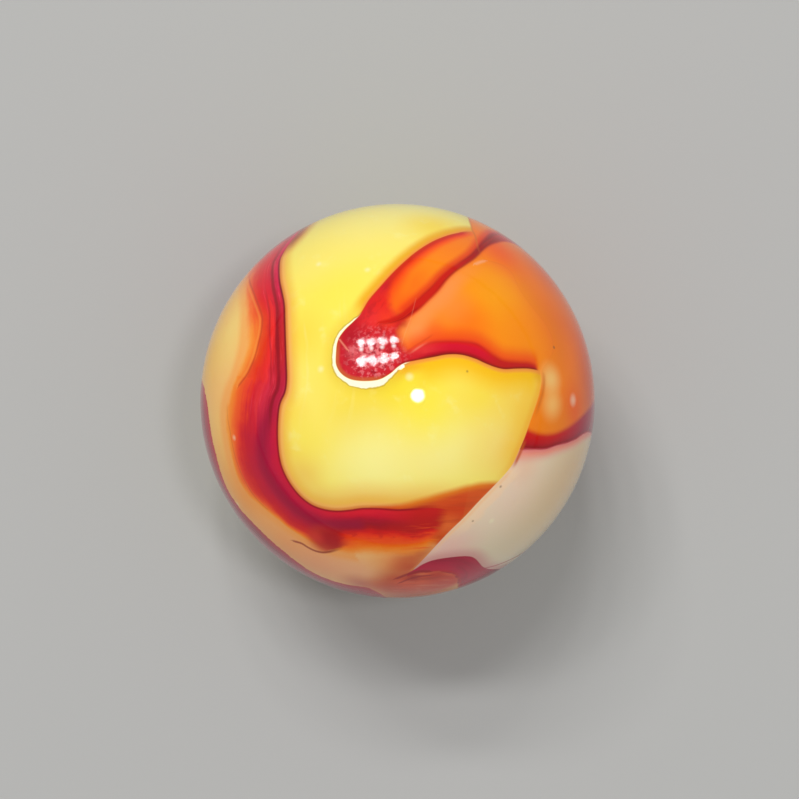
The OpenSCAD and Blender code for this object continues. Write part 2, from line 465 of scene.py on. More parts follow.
def grow_ball(glass):
    """The ball as one plain mesh, grown by its tree."""
    piece = bpy.data.objects.new("swirled_ball", bpy.data.meshes.new("swirled_ball"))
    bpy.context.scene.collection.objects.link(piece)
    growth = piece.modifiers.new("Rolled glass ball", "NODES")
    tree = rolled_ball_tree()
    growth.node_group = tree
    sizes = {"Radius": BALL_RADIUS, "Cells a side": CELLS_A_SIDE, "Lump depth": LUMP_DEPTH,
             "Lump size": LUMP_SIZE, "Pit count": PIT_COUNT, "Pit radius": PIT_RADIUS,
             "Pit depth": PIT_DEPTH, "Seed": SKIN_SEED, "Glass": glass}
    for socket in tree.interface.items_tree:
        if socket.in_out == "INPUT":
            growth[socket.identifier] = sizes[socket.name]
    seen = piece.evaluated_get(bpy.context.evaluated_depsgraph_get())
    mesh = bpy.data.meshes.new_from_object(seen)
    piece.modifiers.clear()
    piece.data = mesh
    mesh.name = "swirled_ball"
    return piece


def corner_positions(mesh):
    """The mesh's points as rows of x, y and z."""
    flat = np.empty(len(mesh.vertices) * 3, np.float32)
    mesh.vertices.foreach_get("co", flat)
    return flat.reshape(-1, 3).astype(float)


LINES = {"ribbon": RIBBON_SHARP_EDGE, "body": RIBBON_BODY_EDGE, "glow": RIBBON_GLOW_EDGE,
         "core": RIBBON_CORE, "rim": RIM_INNER_EDGE, "rim_outer": RIM_OUTER_EDGE,
         "tongue": TONGUE_EDGE, "lower_top": LOWER_BAND_TOP, "middle": MIDDLE_LINE,
         "tongue_wisp": TONGUE_WISP, "seam": SEAM, "wisp": WISP_LINE,
         "head_scratch": HEAD_SCRATCH, "fold_scratch": FOLD_SCRATCH,
         "orange_streak": ORANGE_STREAK, "lens_stroke": LENS_STROKE,
         "lens_low_stroke": LENS_LOW_STROKE, "limb_streak": LIMB_STREAK,
         "arm_fold": ARM_FOLD, "outer_line": OUTER_LINE}
FIELDS = {"head": HEAD_RED, "orange": ORANGE_FIELD, "cream": CREAM_FIELD,
          "peach": PEACH_FIELD, "tail": TAIL_FIELD, "rim_room": RIM_FIELD}


def lay_out_pattern(directions):
    """Every distance that the glass is coloured by, in mm, for each point of the ball."""
    pattern = {}
    for name, places in LINES.items():
        distance, along = measure(directions, places)
        pattern[name] = distance
        pattern[name + "_gap"] = np.abs(distance)
        pattern[name + "_along"] = along
    for name, outline in FIELDS.items():
        pattern[name] = depth_in(directions, outline)
    along = pattern["ribbon_along"]
    pattern["ribbon_left"] = along.max() - along
    on_hook = (along > 0) & (along < BAND_START + TAKEOVER) & (pattern["ribbon"] > -GOLDEN_REACH)
    pattern["hook_part"] = on_hook.astype(float)
    pattern["hook_side"] = ((along > HOOK_SIDE[0]) & (along < HOOK_SIDE[1])).astype(float)
    on_band = (along > BAND_START - TAKEOVER) & (along < along.max())
    shown = (pattern["ribbon_left"] > BAND_END_LENGTH) | (pattern["seam"] > -SEAM_OVERLAP)
    pattern["band_part"] = (on_band & shown).astype(float)
    pattern["tongue_left"] = pattern["tongue_along"].max() - pattern["tongue_along"]
    pattern["ribbon_across"] = across(pattern["ribbon"], pattern["body"], pattern["glow"])
    pattern["lower_across"] = across(pattern["tongue"], pattern["lower_top"])
    pattern["middle_width"] = np.interp(pattern["middle_along"], *zip(*MIDDLE_WIDTHS))
    pattern["lip_and_glint_width"] = np.interp(pattern["tongue_along"], *zip(*LIP_AND_GLINT_WIDTHS))
    reach = np.interp(pattern["tongue_along"], *zip(*TONGUE_REACH))
    pattern["tongue_depth"] = pattern["tongue"] / reach
    return pattern


def store(mesh, points, pattern):
    """Keeps each distance, and the place itself, on the mesh under its own name."""
    for name, values in pattern.items():
        kept = mesh.attributes.new(name, "FLOAT", "POINT")
        kept.data.foreach_set("value", values.astype(np.float32))
    kept = mesh.attributes.new("place", "FLOAT_VECTOR", "POINT")
    kept.data.foreach_set("vector", points.astype(np.float32).ravel())


def crease_skin(mesh, points, pattern):
    """Sinks the skin a little along the folded edge of the tongue and along the seam."""
    def groove(distance, reach):
        return np.exp(-(distance / reach) ** 2)

    sunk = np.maximum(groove(pattern["tongue_gap"], CREASE_WIDTH),
                      SEAM_CREASE_SHARE * groove(pattern["seam_gap"], CREASE_WIDTH))
    lowered = points * (1 - sunk[:, None] * CREASE_DEPTH / BALL_RADIUS)
    mesh.vertices.foreach_set("co", lowered.astype(np.float32).ravel())
    mesh.update()


def make_ball():
    """The finished ball: grown, measured, creased and painted."""
    piece = grow_ball(swirl_glass())
    points = corner_positions(piece.data)
    directions = points / np.linalg.norm(points, axis=1, keepdims=True)
    pattern = lay_out_pattern(directions)
    store(piece.data, points, pattern)
    crease_skin(piece.data, points, pattern)
    return piece


# ---- The glass -------------------------------------------------------------------------------


def colour(code):
    """A colour written as #RRGGBB, in the linear values that a shader takes."""
    parts = [int(code[i:i + 2], 16) / 255 for i in (1, 3, 5)]
    return (*[c / 12.92 if c <= 0.04045 else ((c + 0.055) / 1.055) ** 2.4 for c in parts], 1.0)


GLASS = bpy.data.materials.new("Swirled glass")
GLASS.use_nodes = True
SHADER = GLASS.node_tree
SHADER_PLACE = add_node(SHADER, "ShaderNodeTexCoord").outputs["Object"]


@functools.cache
def field(name, output="Fac"):
    """A distance kept on the mesh, or the place kept on it as a vector."""
    return add_node(SHADER, "ShaderNodeAttribute", attribute_name=name).outputs[output]


def calculate(operation, first, second=0.0):
    """One sum on two values, each given as itself or as a field's name."""
    first, second = (field(v) if isinstance(v, str) else v for v in (first, second))
    return add_node(SHADER, "ShaderNodeMath", {0: first, 1: second},
                    operation=operation).outputs[0]


def fade(value, *marks):
    """Goes from 0 at the first mark to 1 at the second. With four, it is 1 between the inner two."""
    if len(marks) == 4:
        return both(fade(value, *marks[:2]), fade(value, marks[3], marks[2]))
    if isinstance(value, str):
        value = field(value)
    return add_node(SHADER, "ShaderNodeMapRange", {
        "Value": value, "From Min": marks[0], "From Max": marks[1]},
        interpolation_type="SMOOTHSTEP", clamp=False).outputs[0]


def both(*limits):
    """Amounts multiplied together. A tuple is a value and the marks that it fades between."""
    total = None
    for limit in limits:
        if isinstance(limit, tuple):
            limit = fade(*limit)
        if isinstance(limit, str):
            limit = field(limit)
        total = limit if total is None else calculate("MULTIPLY", total, limit)
    return total


def thread(line, half_width, softness, shift=0.0):
    """1 on a thread beside a line, fading to 0 at its sides. The shift is to the left."""
    off = calculate("ABSOLUTE", calculate("SUBTRACT", line, shift))
    outside = calculate("ADD", half_width, softness)
    inside = calculate("SUBTRACT", half_width, softness)
    reach = calculate("ADD", outside, abs(shift) + 0.04)
    furthest = calculate("ADD", reach, 0.08)
    return both((off, outside, inside), (line + "_gap", furthest, reach))


def near(right, up, radius, softness):
    """1 within a radius in mm of a place, fading to 0 round it."""
    centre = tuple(c * BALL_RADIUS for c in top(right, up))
    gap = add_node(SHADER, "ShaderNodeVectorMath", {0: field("place", "Vector"), 1: centre},
                   operation="DISTANCE").outputs["Value"]
    return fade(gap, (radius + softness) * MM, max(radius - softness, 0) * MM)


def layer(below, above, amount):
    """One colour laid over another."""
    node = add_node(SHADER, "ShaderNodeMix", data_type="RGBA")
    for index, value in ((0, amount), (6, below), (7, above)):
        if isinstance(value, bpy.types.NodeSocket):
            SHADER.links.new(value, node.inputs[index])
        else:
            node.inputs[index].default_value = colour(value)
    return node.outputs[2]


def over(below, *rows):
    """Colours laid over one another, each with the limits that it shows within."""
    for shade, *limits in rows:
        below = layer(below, shade, both(*limits))
    return below


def tints(below, *spots):
    """Soft patches of other colours: right, up, radius, softness, colour and strength."""
    for *patch, shade, strength in spots:
        below = layer(below, shade, both(near(*patch), strength))
    return below


def ramp(value, *stops):
    """Colours along a value, from (value, colour) stops."""
    low, high = stops[0][0], stops[-1][0]
    share = add_node(SHADER, "ShaderNodeMapRange", {
        "Value": value, "From Min": low, "From Max": high}, clamp=False).outputs[0]
    node = add_node(SHADER, "ShaderNodeValToRGB", {0: share})
    elements = node.color_ramp.elements
    while len(elements) < len(stops):
        elements.new(0.5)
    for element, (mark, _) in zip(elements, stops):
        element.position = (mark - low) / (high - low)
    for element, (_, shade) in zip(elements, stops):
        element.color = colour(shade)
    return node.outputs[0]


def noise(scale, offset, feeds, **settings):
    """Noise through the glass, from 0 to 1, stretched by a scale for each direction."""
    moved = add_node(SHADER, "ShaderNodeMapping", {
        "Vector": SHADER_PLACE, "Location": offset, "Scale": scale}).outputs[0]
    return add_node(SHADER, "ShaderNodeTexNoise", {
        "Vector": moved, "Scale": 1.0, **feeds}, **settings).outputs[0]


def flow(sideways, length, width, seed):
    """Streaks that follow a stream: long one way, thin the other, from 0 to 1."""
    return noise((1 / (length * MM),) * 3, (seed, 0, 0), {
        "W": calculate("DIVIDE", sideways, width), "Detail": 3.0, "Roughness": 0.6,
        "Distortion": 0.3}, noise_dimensions="4D")


def grain(length, width, seed):
    """Streaks that run from left to right over the top of the ball, from 0 to 1."""
    return noise((1 / (length * MM), 1 / (width * MM), 0), (0, 0, seed), {
        "Detail": 3.0, "Distortion": 0.4})


def cloud(size, seed, detail=2.0):
    """Even, soft variation through the glass, from 0 to 1. The size is in mm."""
    fineness = 1 / (size * MM)
    return noise((fineness,) * 3, (seed * fineness, 0, 0), {"Detail": detail})


def shifted(value, wander, reach):
    """A value pushed to and fro by noise, by up to half the reach each way."""
    centred = calculate("SUBTRACT", wander, 0.5)
    return calculate("ADD", value, calculate("MULTIPLY", centred, reach))


def yellow_glass():
    """The base: bright yellow in the middle, paler and creamier towards the sides."""
    base = tints(
        "#FFEA6C",
        (-2, 8, 1.0, 3.2, "#F6D930", 1.0), (-20, 34, 1.2, 2.8, "#FFE84C", 0.8),
        (-14, 62, 1.5, 2.6, "#FFEC80", 0.9), (-27, 45, 0.8, 1.6, "#FFEA70", 0.7),
        (-28, 19, 0.5, 1.2, "#FFDC48", 0.9), (-28, -20, 0.3, 1.1, "#F8CC5A", 0.85),
        (-31, -13, 0.2, 0.9, "#FACE4C", 0.75), (-31, -4, 0.2, 1.0, "#FFD444", 0.8),
        (-10, -5, 0.6, 1.2, "#F6DA44", 0.9), (6, 78, 1.5, 2.6, "#FFF094", 0.9),
        (-6, -17, 0.8, 2.0, "#FFF496", 0.9), (12, -13, 0.8, 2.0, "#FFF090", 0.9),
        (-26, -10, 0.4, 1.4, "#FFE85C", 0.9), (8, -2, 0.6, 1.6, "#FFEA34", 0.7),
        (24, 2, 0.6, 1.4, "#FFE048", 0.9), (30, -13, 0.6, 1.6, "#FFDE76", 0.9),
        (35, 0, 0.5, 1.2, "#FFD654", 0.9), (12, 60, 0.3, 1.5, "#FFDC48", 0.8))
    streaks = flow("seam_along", 0.8, 2.5, 6.0)
    brushed = flow("ribbon", 4.0, 0.4, 11.0)
    beside = both(("seam_along", 10.4, 11.4, 14.0, 16.0), ("seam", 0.8, 0.3))
    return over(
        base,
        ("#FFF8A8", (streaks, 0.55, 0.8), 0.35),
        ("#FFF6B0", (brushed, 0.56, 0.7), near(-22, 12, 2.2, 1.4), 0.16),
        ("#FFC83C", ("seam", -1.3, -0.3), beside, 0.75),
        ("#FFB42C", ("seam", -0.4, -0.05), beside, 0.7))


def lay_golden(below):
    """The golden edges of the yellow, beside the hook and round the tongue, with painted shade where
    the hook nears the ball's edge.
    """
    on_hook = both(("ribbon_along", 19.5, 18.0), "hook_part")
    # Painted shade: beside the hook near the ball's upper-left edge, the golden edge turns tan and
    # brown.
    limb_shade = both(("ribbon_along", 17.6, 19.2, 20.4, 24.0), "hook_part")
    on_head = fade("tongue_along", 6.6, 7.6, 11.6, 12.6)
    off_head = calculate("SUBTRACT", 1.0, on_head)
    return over(
        below,
        ("#F6C45E", ("ribbon", -1.45, -0.35), ("ribbon_along", 8.0, 5.5), on_hook, 0.85),
        ("#F4B840", ("ribbon", -0.75, -0.2), on_hook, 0.75),
        ("#F8B45C", ("ribbon", -0.36, -0.14), on_hook, 0.85),
        ("#E07E34", ("ribbon", -0.18, -0.05), on_hook, 0.8),
        ("#DC9030", ("ribbon", -1.0, -0.35), limb_shade, 0.9),
        ("#A84010", ("ribbon", -0.6, -0.12), limb_shade, ("ribbon_along", 22.4, 20.6), 0.95),
        ("#F0AE18", ("tongue", -0.62, -0.2), off_head, 0.95),
        ("#FFC408", ("tongue", -1.3, -0.35), ("tongue_along", 12.6, 13.6, 18.0, 18.6), 0.85),
        ("#E8C634", ("tongue", -0.7, -0.15), on_head, 0.5),
        ("#F4963C", ("tongue", -0.22, -0.05), off_head, 0.9))


def lay_peach(below):
    """The peach glass outside the hook, browner towards the bottom."""
    streaks = grain(1.3, 0.15, 21.0)
    low_place = near(8, -66, 1.2, 0.5)
    peach = over(
        tints(
            "#FFC070",
            (-60, 25, 1.2, 2.0, "#FFDA78", 0.9), (-63, -10, 0.8, 1.8, "#FFC86C", 0.9),
            (-60, -26, 0.6, 1.6, "#FFB654", 0.8), (-52, -34, 0.6, 1.6, "#FFA040", 0.8),
            (-38, -49, 0.8, 1.8, "#FFA860", 0.9), (-26, -57, 0.7, 1.6, "#FFAC78", 0.9),
            (-14, -58, 0.6, 1.4, "#FFB684", 0.9), (-13, -66, 0.5, 0.7, "#D8785C", 0.9),
            (0, -52, 0.4, 1.0, "#F4904C", 0.9), (6, -46.5, 0.5, 0.8, "#D04C04", 0.9),
            (4, -54, 0.3, 0.8, "#D45020", 0.9), (-73, 16, 0.8, 1.6, "#FFC448", 0.8),
            (-66, 37, 0.6, 1.5, "#FFC458", 0.7), (0, -61, 0.5, 0.9, "#D44810", 0.9),
            (-1, -67, 0.9, 0.6, "#D8460C", 0.9), (11, -66, 1.3, 0.4, "#F45420", 0.95),
            (18, -66, 0.8, 0.5, "#D83410", 0.9), (5.5, -60.3, 0.3, 0.35, "#B01000", 0.9),
            (13, -60, 0.4, 0.3, "#C82408", 0.8), (4, -76, 1.2, 1.3, "#C84824", 0.9),
            (14, -82, 0.6, 1.6, "#D86838", 0.8)),
        ("#F08C60", (streaks, 0.54, 0.74), low_place, 0.45),
        ("#A42808", (streaks, 0.46, 0.28), low_place, 0.45),
        ("#FFA248", ("glow", 0.5, 0.0), "hook_side", 0.65))
    edge = shifted("peach", cloud(1.6, 0.0), 0.2)
    return over(below, (peach, (edge, -0.05, 0.12)))


def lay_tail(below):
    """The red-brown smear between the hook's end and the seam, with a golden upper edge."""
    streaks = grain(2.4, 0.28, 12.0)
    tail = over(
        tints(
            "#DC4604",
            (18, -31, 0.4, 0.8, "#D83800", 0.9), (15.5, -37.5, 0.3, 0.5, "#F07028", 0.7),
            (6, -42.5, 0.5, 0.7, "#D05000", 0.9), (0, -43, 0.3, 0.7, "#F07818", 0.8)),
        ("#B40A00", near(7, -35, 0.75, 0.35), ("ribbon_along", 0.0, 0.06), 0.9),
        ("#B82800", (streaks, 0.5, 0.3), 0.35),
        ("#F47828", (streaks, 0.55, 0.75), 0.35),
        ("#EC8008", ("tail", 0.45, 0.1), near(14, -25.5, 1.9, 0.6), 0.85))
    edge = shifted("tail", cloud(1.2, 0.01), 0.1)
    return over(below, (tail, (edge, -0.1, 0.2), 0.95))


def lay_orange(below):
    """The orange field: glowing beside the tongue, deeper towards the right side, with one painted
    highlight near the right edge.
    """
    orange = over(
        tints(
            "#FF8600",
            (30, 31, 1.0, 2.2, "#FF9E00", 1.0), (40, 20, 0.6, 1.6, "#FF8E00", 0.9),
            (20, 22, 0.5, 1.2, "#FF7800", 0.9), (5, 20, 0.3, 1.0, "#FF9248", 0.95),
            (14, 29, 0.3, 1.2, "#FF9340", 0.6), (10.5, 20.3, 0.15, 0.5, "#FF6A10", 0.7),
            (9, 47, 0.4, 1.6, "#FF8A00", 0.9), (19, 51, 0.4, 1.4, "#FF8000", 0.9),
            (4, 34, 0.3, 1.2, "#FF7000", 0.9), (0, 27.5, 0.35, 0.65, "#FC4800", 0.95),
            (58, 28, 0.8, 2.2, "#F47000", 0.9), (45, 45, 0.6, 1.6, "#FF8008", 0.8),
            (36, 53, 0.6, 1.4, "#FC5C00", 0.9), (56, 44, 0.8, 2.0, "#F47410", 0.7),
            (62, 12, 0.6, 1.2, "#FF7C00", 0.8), (76, 22, 1.0, 1.8, "#EE5000", 0.85),
            (60, 52, 0.9, 1.5, "#EC5800", 0.8), (76, 3, 0.4, 2.2, "#DC3C00", 0.75),
            (60, -3, 0.4, 1.2, "#FA5C00", 0.8), (52, -7, 0.4, 1.0, "#F88400", 0.7),
            (48.3, 7, 0.3, 0.6, "#FFCC78", 0.95), (48.8, -1, 0.3, 0.6, "#FFC068", 0.9),
            # The last spot is a painted highlight: the glint of a small light on the right.
            (59.5, 0.3, 0.2, 0.16, "#FFBC98", 0.9)),
        ("#E27C00", ("seam", 0.0, 0.08, 0.25, 1.4), near(48, 26, 2.4, 0.9), 0.25))
    return over(below, (orange, ("orange", -0.03, 0.04)))


def hook_colours(position, streaks):
    """The hook's colours across it: at its foot, its side, its bend and up its arm."""
    foot = ramp(position, (0.0, "#DE1028"), (0.12, "#E0102A"), (0.29, "#D00026"),
                (0.46, "#B20024"), (0.63, "#A4001C"), (0.8, "#B4000C"), (0.97, "#DC0C04"),
                (1.1, "#F43400"), (1.27, "#FA5000"), (1.42, "#FF7000"), (1.6, "#FF8C20"),
                (1.8, "#FF9A3C"), (2.0, "#F4A464"))
    side = ramp(position, (0.0, "#CC0A30"), (0.1, "#CE0836"), (0.2, "#C60038"),
                (0.35, "#BA0038"), (0.5, "#BC0034"), (0.65, "#C6002E"), (0.8, "#CE0022"),
                (0.92, "#DC1614"), (1.0, "#E83010"), (1.15, "#F44C0C"), (1.35, "#FC6A10"),
                (1.55, "#FF8818"), (1.75, "#FF9C2C"), (2.0, "#FFB868"))
    bend = ramp(position, (0.0, "#C0163A"), (0.1, "#C2163A"), (0.2, "#AC0828"),
                (0.3, "#C8102C"), (0.4, "#DC2640"), (0.5, "#DA1E36"), (0.6, "#E42A34"),
                (0.7, "#DC1A28"), (0.8, "#E6281E"), (0.9, "#F44018"), (1.05, "#F44E10"),
                (1.3, "#F65E08"), (1.5, "#FF7C14"), (1.7, "#FF9024"), (2.0, "#FFB860"))
    arm = ramp(position, (0.0, "#B0101A"), (0.1, "#C81C24"), (0.2, "#C81A22"),
               (0.37, "#AC0008"), (0.46, "#D81820"), (0.56, "#F42824"), (0.66, "#EE241C"),
               (0.78, "#E62816"), (0.92, "#E8360C"), (1.08, "#E84608"), (1.25, "#FA7018"),
               (1.45, "#FF8824"), (1.6, "#FF9C38"), (1.8, "#FFB258"), (2.0, "#FFBC6C"))
    upper = ramp(position, (0.0, "#C80034"), (0.12, "#E00848"), (0.26, "#C00034"),
                 (0.45, "#DC002C"), (0.7, "#E40024"), (0.88, "#E4001C"),
                 (1.0, "#E41008"), (1.25, "#EC3408"), (1.5, "#FA6418"), (2.0, "#FF9C48"))
    drawn = shifted("ribbon_along", streaks, 3.4)
    return over(foot, (side, ("ribbon_along", 4.6, 6.6)), (bend, (drawn, 9.0, 10.8)),
                (arm, (drawn, 11.0, 13.0)), (upper, (drawn, 13.8, 16.0)))


def lay_hook(below):
    """The hook: a dark hairline, streaked crimson, then red, orange and a peach fade."""
    streaks = flow("ribbon", 3.2, 0.26, 1.0)
    fine = flow("ribbon", 1.8, 0.11, 5.0)
    position = shifted("ribbon_across", streaks, 0.22)
    position = shifted(position, cloud(0.7, 3.0, 3.0), 0.26)
    in_red = fade(position, 0.95, 0.75)
    streaked = both(in_red, ("ribbon_along", 8.5, 12.0))
    wavering = shifted("ribbon", flow("ribbon", 2.6, 2.0, 17.0), 0.3)
    fold_start = fade("arm_fold_along", 0.1, 1.4)
    hook = over(
        hook_colours(position, streaks),
        ("#9C0034", ("core_gap", 0.5, 0.0), ("core_along", -0.8, 1.4), 0.7),
        ("#FF4C60", (fine, 0.56, 0.74), streaked, 0.45),
        ("#8C0020", (fine, 0.45, 0.28), streaked, 0.35),
        ("#900018", (wavering, 0.27, 0.35, 0.4, 0.5), ("ribbon_along", 9.0, 10.4, 17.0, 19.0), 0.7),
        ("#A00414", (wavering, 0.68, 0.74, 0.76, 0.84),
         ("ribbon_along", 10.6, 11.6, 15.0, 17.0), 0.5),
        ("#C81400", in_red, ("ribbon_along", 3.6, 1.6), 0.8),
        ("#F85010", (grain(1.2, 0.14, 6.0), 0.52, 0.64), ("ribbon_along", 3.2, 1.2),
         (position, 0.5, 0.8), 0.6),
        ("#D01404", (grain(0.5, 0.16, 41.0), 0.5, 0.6), (position, 0.85, 0.98, 1.08, 1.25),
         ("ribbon_along", 6.4, 5.6), 0.6),
        ("#C03C08", thread("arm_fold", 0.035, 0.05), fold_start, 0.7),
        ("#FFA040", thread("arm_fold", 0.05, 0.06, -0.13), fold_start, 0.45),
        ("#B85C14", thread("outer_line", 0.02, 0.045), 0.5))
    started = shifted("ribbon_along", streaks, 1.6)
    dark_red = over("#8C0008", ("#64000C", ("ribbon_along", 8.0, 11.0)))
    return over(
        below,
        (hook, (started, 0.6, 1.15), "hook_part", ("ribbon_along", BAND_START + TAKEOVER, BAND_START),
         ("ribbon", -0.02, 0.02), (position, 2.0, 1.6)),
        (dark_red, thread("ribbon", 0.04, 0.05, 0.035), ("ribbon_along", 1.2, 2.4),
         ("ribbon_along", 18.6, 17.0), 0.85))


def lay_cream(below):
    """The cream field, with a bright lip by the seam and faintly pink next to the crimson."""
    rumpled = shifted("seam", cloud(0.5, 4.0), 0.35)
    cream = over(
        tints(
            "#EEDDBC",
            (36, -28, 0.8, 2.2, "#F8DAC0", 0.9), (39, -19, 0.4, 0.9, "#F8CCAC", 0.8),
            (16, -46, 0.6, 1.4, "#F4C4B4", 0.9), (56, -38, 0.8, 3.0, "#F0CE9C", 0.7),
            (66, -24, 0.8, 2.4, "#ECC698", 0.7)),
        ("#FFDAB4", (rumpled, 0.7, 0.45), ("seam_along", 14.5, 15.0, 17.0, 19.0), 0.85),
        ("#DC8C8C", ("rim_outer", -0.7, -0.02), 0.7),
        ("#B81048", thread("limb_streak", 0.05, 0.06), 0.7))
    return over(below, (cream, ("cream", -0.02, 0.02)))


def lay_band(below):
    """The ribbon's other end, which crosses underneath and comes up on the right."""
    position = shifted("ribbon_across", flow("ribbon", 3.0, 0.2, 4.0), 0.24)
    band = ramp(position, (0.0, "#E04400"), (0.15, "#D41C00"), (0.4, "#D00000"),
                (0.7, "#BC0014"), (0.92, "#98000C"), (1.0, "#C43844"), (1.08, "#F08880"),
                (1.25, "#F89A84"), (1.6, "#F2B29C"), (2.0, "#EEC8AC"))
    band = over(band, ("#A00044", ("ribbon_left", 1.5, 5.0), (position, 1.0, 0.85), 0.75))
    past_seam = calculate("MAXIMUM", fade("seam", -0.02, 0.02), fade("ribbon_left", 5.0, 7.0))
    return over(below, (
        band, ("ribbon_along", BAND_START - TAKEOVER, BAND_START + TAKEOVER), "band_part", past_seam,
        ("ribbon_left", 0.02, 0.1), ("ribbon", -0.1, 0.2), ("ribbon_across", 2.0, 1.2)))


def lay_rim(below):
    """The maroon rim and the crimson lens that it ends in."""
    off_edge = calculate("MULTIPLY", "rim", -1.0)
    position = shifted(off_edge, flow("rim", 2.6, 0.3, 9.0), 0.3)
    broad = flow("rim", 5.0, 0.7, 23.0)
    ragged = shifted(off_edge, grain(0.5, 0.12, 31.0), 0.3)
    lens = ramp(position, (0.0, "#B40404"), (0.1, "#CC001C"), (0.25, "#CC0038"),
                (0.6, "#C00038"), (2.5, "#A80030"))
    rim = ramp(position, (0.0, "#C83024"), (0.12, "#C40424"), (0.35, "#B8002C"),
               (0.9, "#A40034"), (2.5, "#98082C"))
    rim = over(rim, (lens, near(20, -58, 2.2, 0.8)),
               ("#B8103C", (broad, 0.5, 0.72), 0.55),
               ("#6C0420", (broad, 0.48, 0.28), 0.5))
    strokes = calculate("MAXIMUM", thread("lens_stroke", 0.08, 0.06),
                        thread("lens_low_stroke", 0.05, 0.06))
    return over(below, (rim, (ragged, -0.05, 0.1), ("rim_room", -0.02, 0.03)),
                ("#A40800", strokes, 0.85))


def lay_upper_side(below):
    """The soft red line down the tongue's upper side."""
    red = ramp(field("tongue_depth"), (0.0, "#D02800"), (0.3, "#D82400"), (0.6, "#F03C00"),
               (1.0, "#FF5C00"), (1.6, "#FF7A00"), (2.2, "#FF8A00"))
    return over(below, (
        red, ("tongue", -0.07, -0.01), ("tongue_depth", 2.2, 0.9), ("tongue_along", 8.0, 7.0),
        ("tongue_along", 0.0, 0.9)))


def lay_lower_side(below):
    """The crimson band along the tongue's lower side, glowing upwards into the orange, with a painted
    highlight at its left end.
    """
    inside = both(("tongue", -0.012, 0.012), ("tongue_left", 0.02, 0.3))
    position = shifted("lower_across", flow("tongue", 1.6, 0.12, 3.0), 0.3)
    band = ramp(position, (0.0, "#780008"), (0.12, "#A80010"), (0.3, "#D00024"),
                (0.6, "#D80028"), (0.85, "#DC1010"), (1.0, "#E43010"))
    # The lighter pink at the band's left end, just above its dark edge, is a painted highlight beside
    # the lamps' glints.
    band = over(band, ("#E83C34", ("tongue_along", 14.6, 12.8), (position, 0.15, 0.45), 0.8),
                ("#BC1C00", ("tongue_along", 15.5, 16.6), 0.7))
    return over(
        below,
        ("#F04808", inside, ("lower_top", 0.75, 0.0), ("lower_top", -1.0, -0.5),
         ("tongue_along", 12.0, 13.2), 0.9),
        ("#C83010", thread("tongue_wisp", 0.03, 0.05), ("tongue_wisp_along", 1.3, 0.9), 0.45),
        (band, inside, ("tongue_along", 12.0, 12.6), ("lower_top", 0.14, -0.12)),
        ("#A80C08", thread("lower_top", 0.03, 0.08, -0.06),
         ("tongue_along", 13.0, 14.0, 15.4, 16.2), 0.45),
        ("#F8A080", thread("tongue_wisp", 0.03, 0.045, -0.12),
         ("tongue_wisp_along", 1.0, 0.2), 0.5))


def lay_head(below):
    """The tongue's crimson head, with an orange-brown strip inside its edge, and painted sparkle,
    haze and faint reflections round the lamps' glints.
    """
    grain_and_sparkle_patch = near(-6, 12.5, 0.95, 0.6)
    head = over(
        tints(
            "#D01422",
            (-13, 18, 0.35, 0.6, "#B0081C", 0.8), (-9, 12, 0.5, 0.9, "#C82438", 0.8),
            # The pink patch at (-12.3, 13.5) is a painted haze of light round the lamps' glints.
            (-12.3, 13.5, 0.12, 0.3, "#EC7478", 0.6), (-4, 28, 0.3, 0.7, "#EC2410", 0.8),
            (-7, 23, 0.3, 0.5, "#F0302C", 0.7), (-2.5, 23, 0.3, 0.45, "#F43818", 0.85),
            (2, 21, 0.15, 0.35, "#B40808", 0.85)),
        ("#9C0418", (flow("tongue", 0.8, 0.5, 2.0), 0.5, 0.28), 0.45),
        # Dark grains of the glass, and pink specks that are painted sparkle: scuffs catching the
        # lamps round their glints.
        ("#8C0018", (cloud(0.17, 9.0, 2.5), 0.48, 0.36), grain_and_sparkle_patch, 0.6),
        ("#F88C90", (cloud(0.15, 5.0, 2.5), 0.5, 0.62), grain_and_sparkle_patch, 0.65))
    # Painted reflections: four faint pale glints of a third, dim row of lamps.
    for right, up in ((-10, 14.3), (-7.2, 14.6), (-4.2, 14.9), (-1, 15.2)):
        head = tints(head, (right, up, 0.07, 0.06, "#FFF0EC", 0.85))
    head = over(head, ("#CC6430", ("tongue", 0.2, 0.07),
                       ("tongue_along", 8.2, 9.2, 11.2, 12.0), 0.75))
    edge = shifted("head", cloud(0.5, 1.0), 0.3)
    return over(below, (head, ("tongue", -0.02, 0.02), (edge, -0.26, 0.2)))


def lay_middle_line(below):
    """The dark line up the middle of the tongue, glowing on both sides."""
    glow = thread("middle", calculate("ADD", "middle_width", 0.12), 0.16, 0.1)
    line = over("#CC1400", ("#A80000", ("middle_along", 3.5, 6.0)),
                ("#D0001C", ("middle_along", 7.5, 9.0)),
                ("#800000", (flow("middle", 2.0, 0.1, 14.0), 0.5, 0.3), 0.5))
    return over(
        below,
        ("#FF9448", ("middle", -1.0, -0.4, -0.16, -0.05), ("middle_along", 5.6, 3.0),
         ("middle_along", 0.9, 1.4), 0.8),
        ("#E43404", glow, ("middle_along", 0.3, 1.2), 0.85),
        (line, thread("middle", "middle_width", 0.08)),
        ("#8C0800", thread("middle", 0.03, 0.05, -0.1), ("middle_along", 2.0, 3.5, 7.0, 8.5), 0.5))


